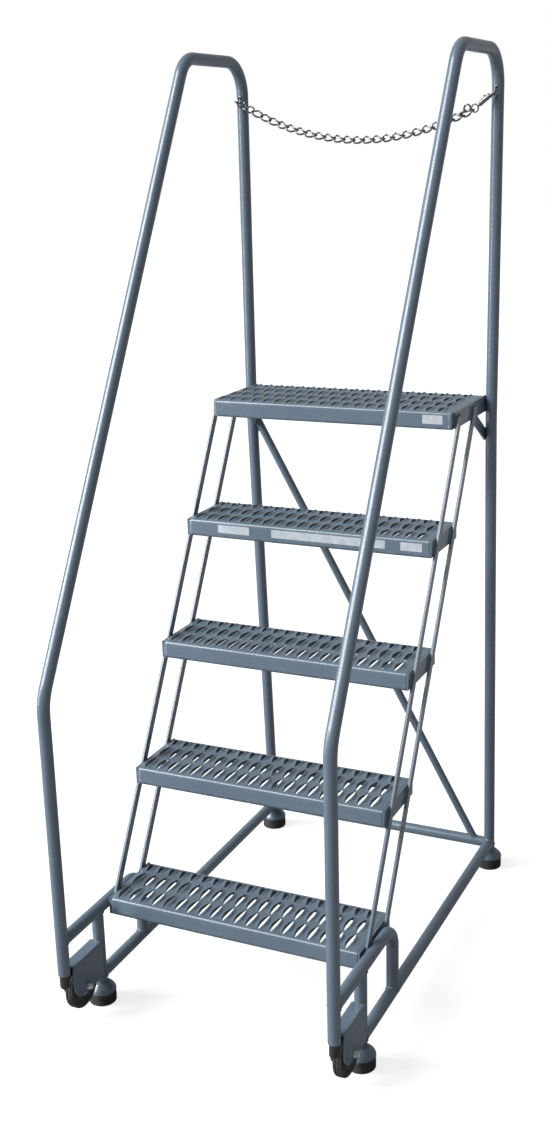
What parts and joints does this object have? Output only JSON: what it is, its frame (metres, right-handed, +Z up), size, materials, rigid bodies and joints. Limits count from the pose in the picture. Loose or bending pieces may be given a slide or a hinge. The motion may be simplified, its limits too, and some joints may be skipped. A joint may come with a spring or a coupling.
{
  "type": "rolling warehouse ladder",
  "caption": "Rolling step ladder with grating steps, a guarded platform, bent tube handrails, a rear safety chain on a snap hook, rubber feet and front wheels that touch down when it is tipped.",
  "frame": {"origin": "middle of the footprint, on the floor", "axes": "+X to the right of a person facing the steps, +Y from the steps to the back, +Z up"},
  "size_m": [0.6884, 1.1151, 2.0322],
  "materials": {
    "frame_paint": "satin",
    "rubber": "matte",
    "tyre": "matte",
    "zinc": "satin",
    "label": "matte"
  },
  "bodies": {
    "frame": {"left_handrail": "frame_paint", "right_handrail": "frame_paint", "left_base_rail": "frame_paint", "right_base_rail": "frame_paint", "left_step_hoop": "frame_paint", "right_step_hoop": "frame_paint", "left_foot_post": "frame_paint", "right_foot_post": "frame_paint", "rear_cross_bar": "frame_paint", "rear_diagonal_brace": "frame_paint", "left_platform_gusset": "frame_paint", "right_platform_gusset": "frame_paint", "left_front_stringer": "frame_paint", "left_rear_stringer": "frame_paint", "right_front_stringer": "frame_paint", "right_rear_stringer": "frame_paint", "step_1_grating": "frame_paint", "step_2_grating": "frame_paint", "step_3_grating": "frame_paint", "step_4_grating": "frame_paint", "platform_grating": "frame_paint", "step_1_end_plates": "frame_paint", "step_2_end_plates": "frame_paint", "step_3_end_plates": "frame_paint", "step_4_end_plates": "frame_paint", "platform_end_plates": "frame_paint", "left_wheel_bracket": "frame_paint", "right_wheel_bracket": "frame_paint", "left_axle_bolt": "zinc", "right_axle_bolt": "zinc", "left_axle_nut": "zinc", "right_axle_nut": "zinc", "front_left_foot_cup": "frame_paint", "front_right_foot_cup": "frame_paint", "rear_left_foot_cup": "frame_paint", "rear_right_foot_cup": "frame_paint", "front_left_foot_pad": "rubber", "front_right_foot_pad": "rubber", "rear_left_foot_pad": "rubber", "rear_right_foot_pad": "rubber", "left_leg_tip": "rubber", "right_leg_tip": "rubber", "left_chain_staple": "zinc", "right_chain_staple": "zinc", "blank_labels": "label"},
    "left_wheel": {"left_wheel_tyre": "tyre", "left_wheel_hub": "zinc"},
    "right_wheel": {"right_wheel_tyre": "tyre", "right_wheel_hub": "zinc"},
    "chain": {"chain_odd_links": "zinc", "chain_even_links": "zinc", "spare_chain_link": "zinc", "snap_hook_ring": "zinc", "snap_hook_body": "zinc", "snap_hook_spring": "zinc"},
    "snap_bolt": {"snap_hook_bolt": "zinc"}
  },
  "joints": [
    {"name": "left_wheel_spin", "type": "hinge", "parent": "frame", "child": "left_wheel", "pos_m": [-0.3125, -0.48297, 0.087], "axis": [1, 0, 0], "continuous": true},
    {"name": "right_wheel_spin", "type": "hinge", "parent": "frame", "child": "right_wheel", "pos_m": [0.3125, -0.48297, 0.087], "axis": [1, 0, 0], "continuous": true},
    {"name": "chain_swing", "type": "hinge", "parent": "frame", "child": "chain", "pos_m": [0, 0.43353, 1.93], "axis": [1, 0, 0], "range_deg": [-25, 25]},
    {"name": "snap_bolt_slide", "type": "slide", "parent": "chain", "child": "snap_bolt", "axis": [-0.8055, 0.125, -0.5792], "range_m": [0, 0.007], "stiffness_N_per_m": 600, "springref_m": -0.004}
  ]
}
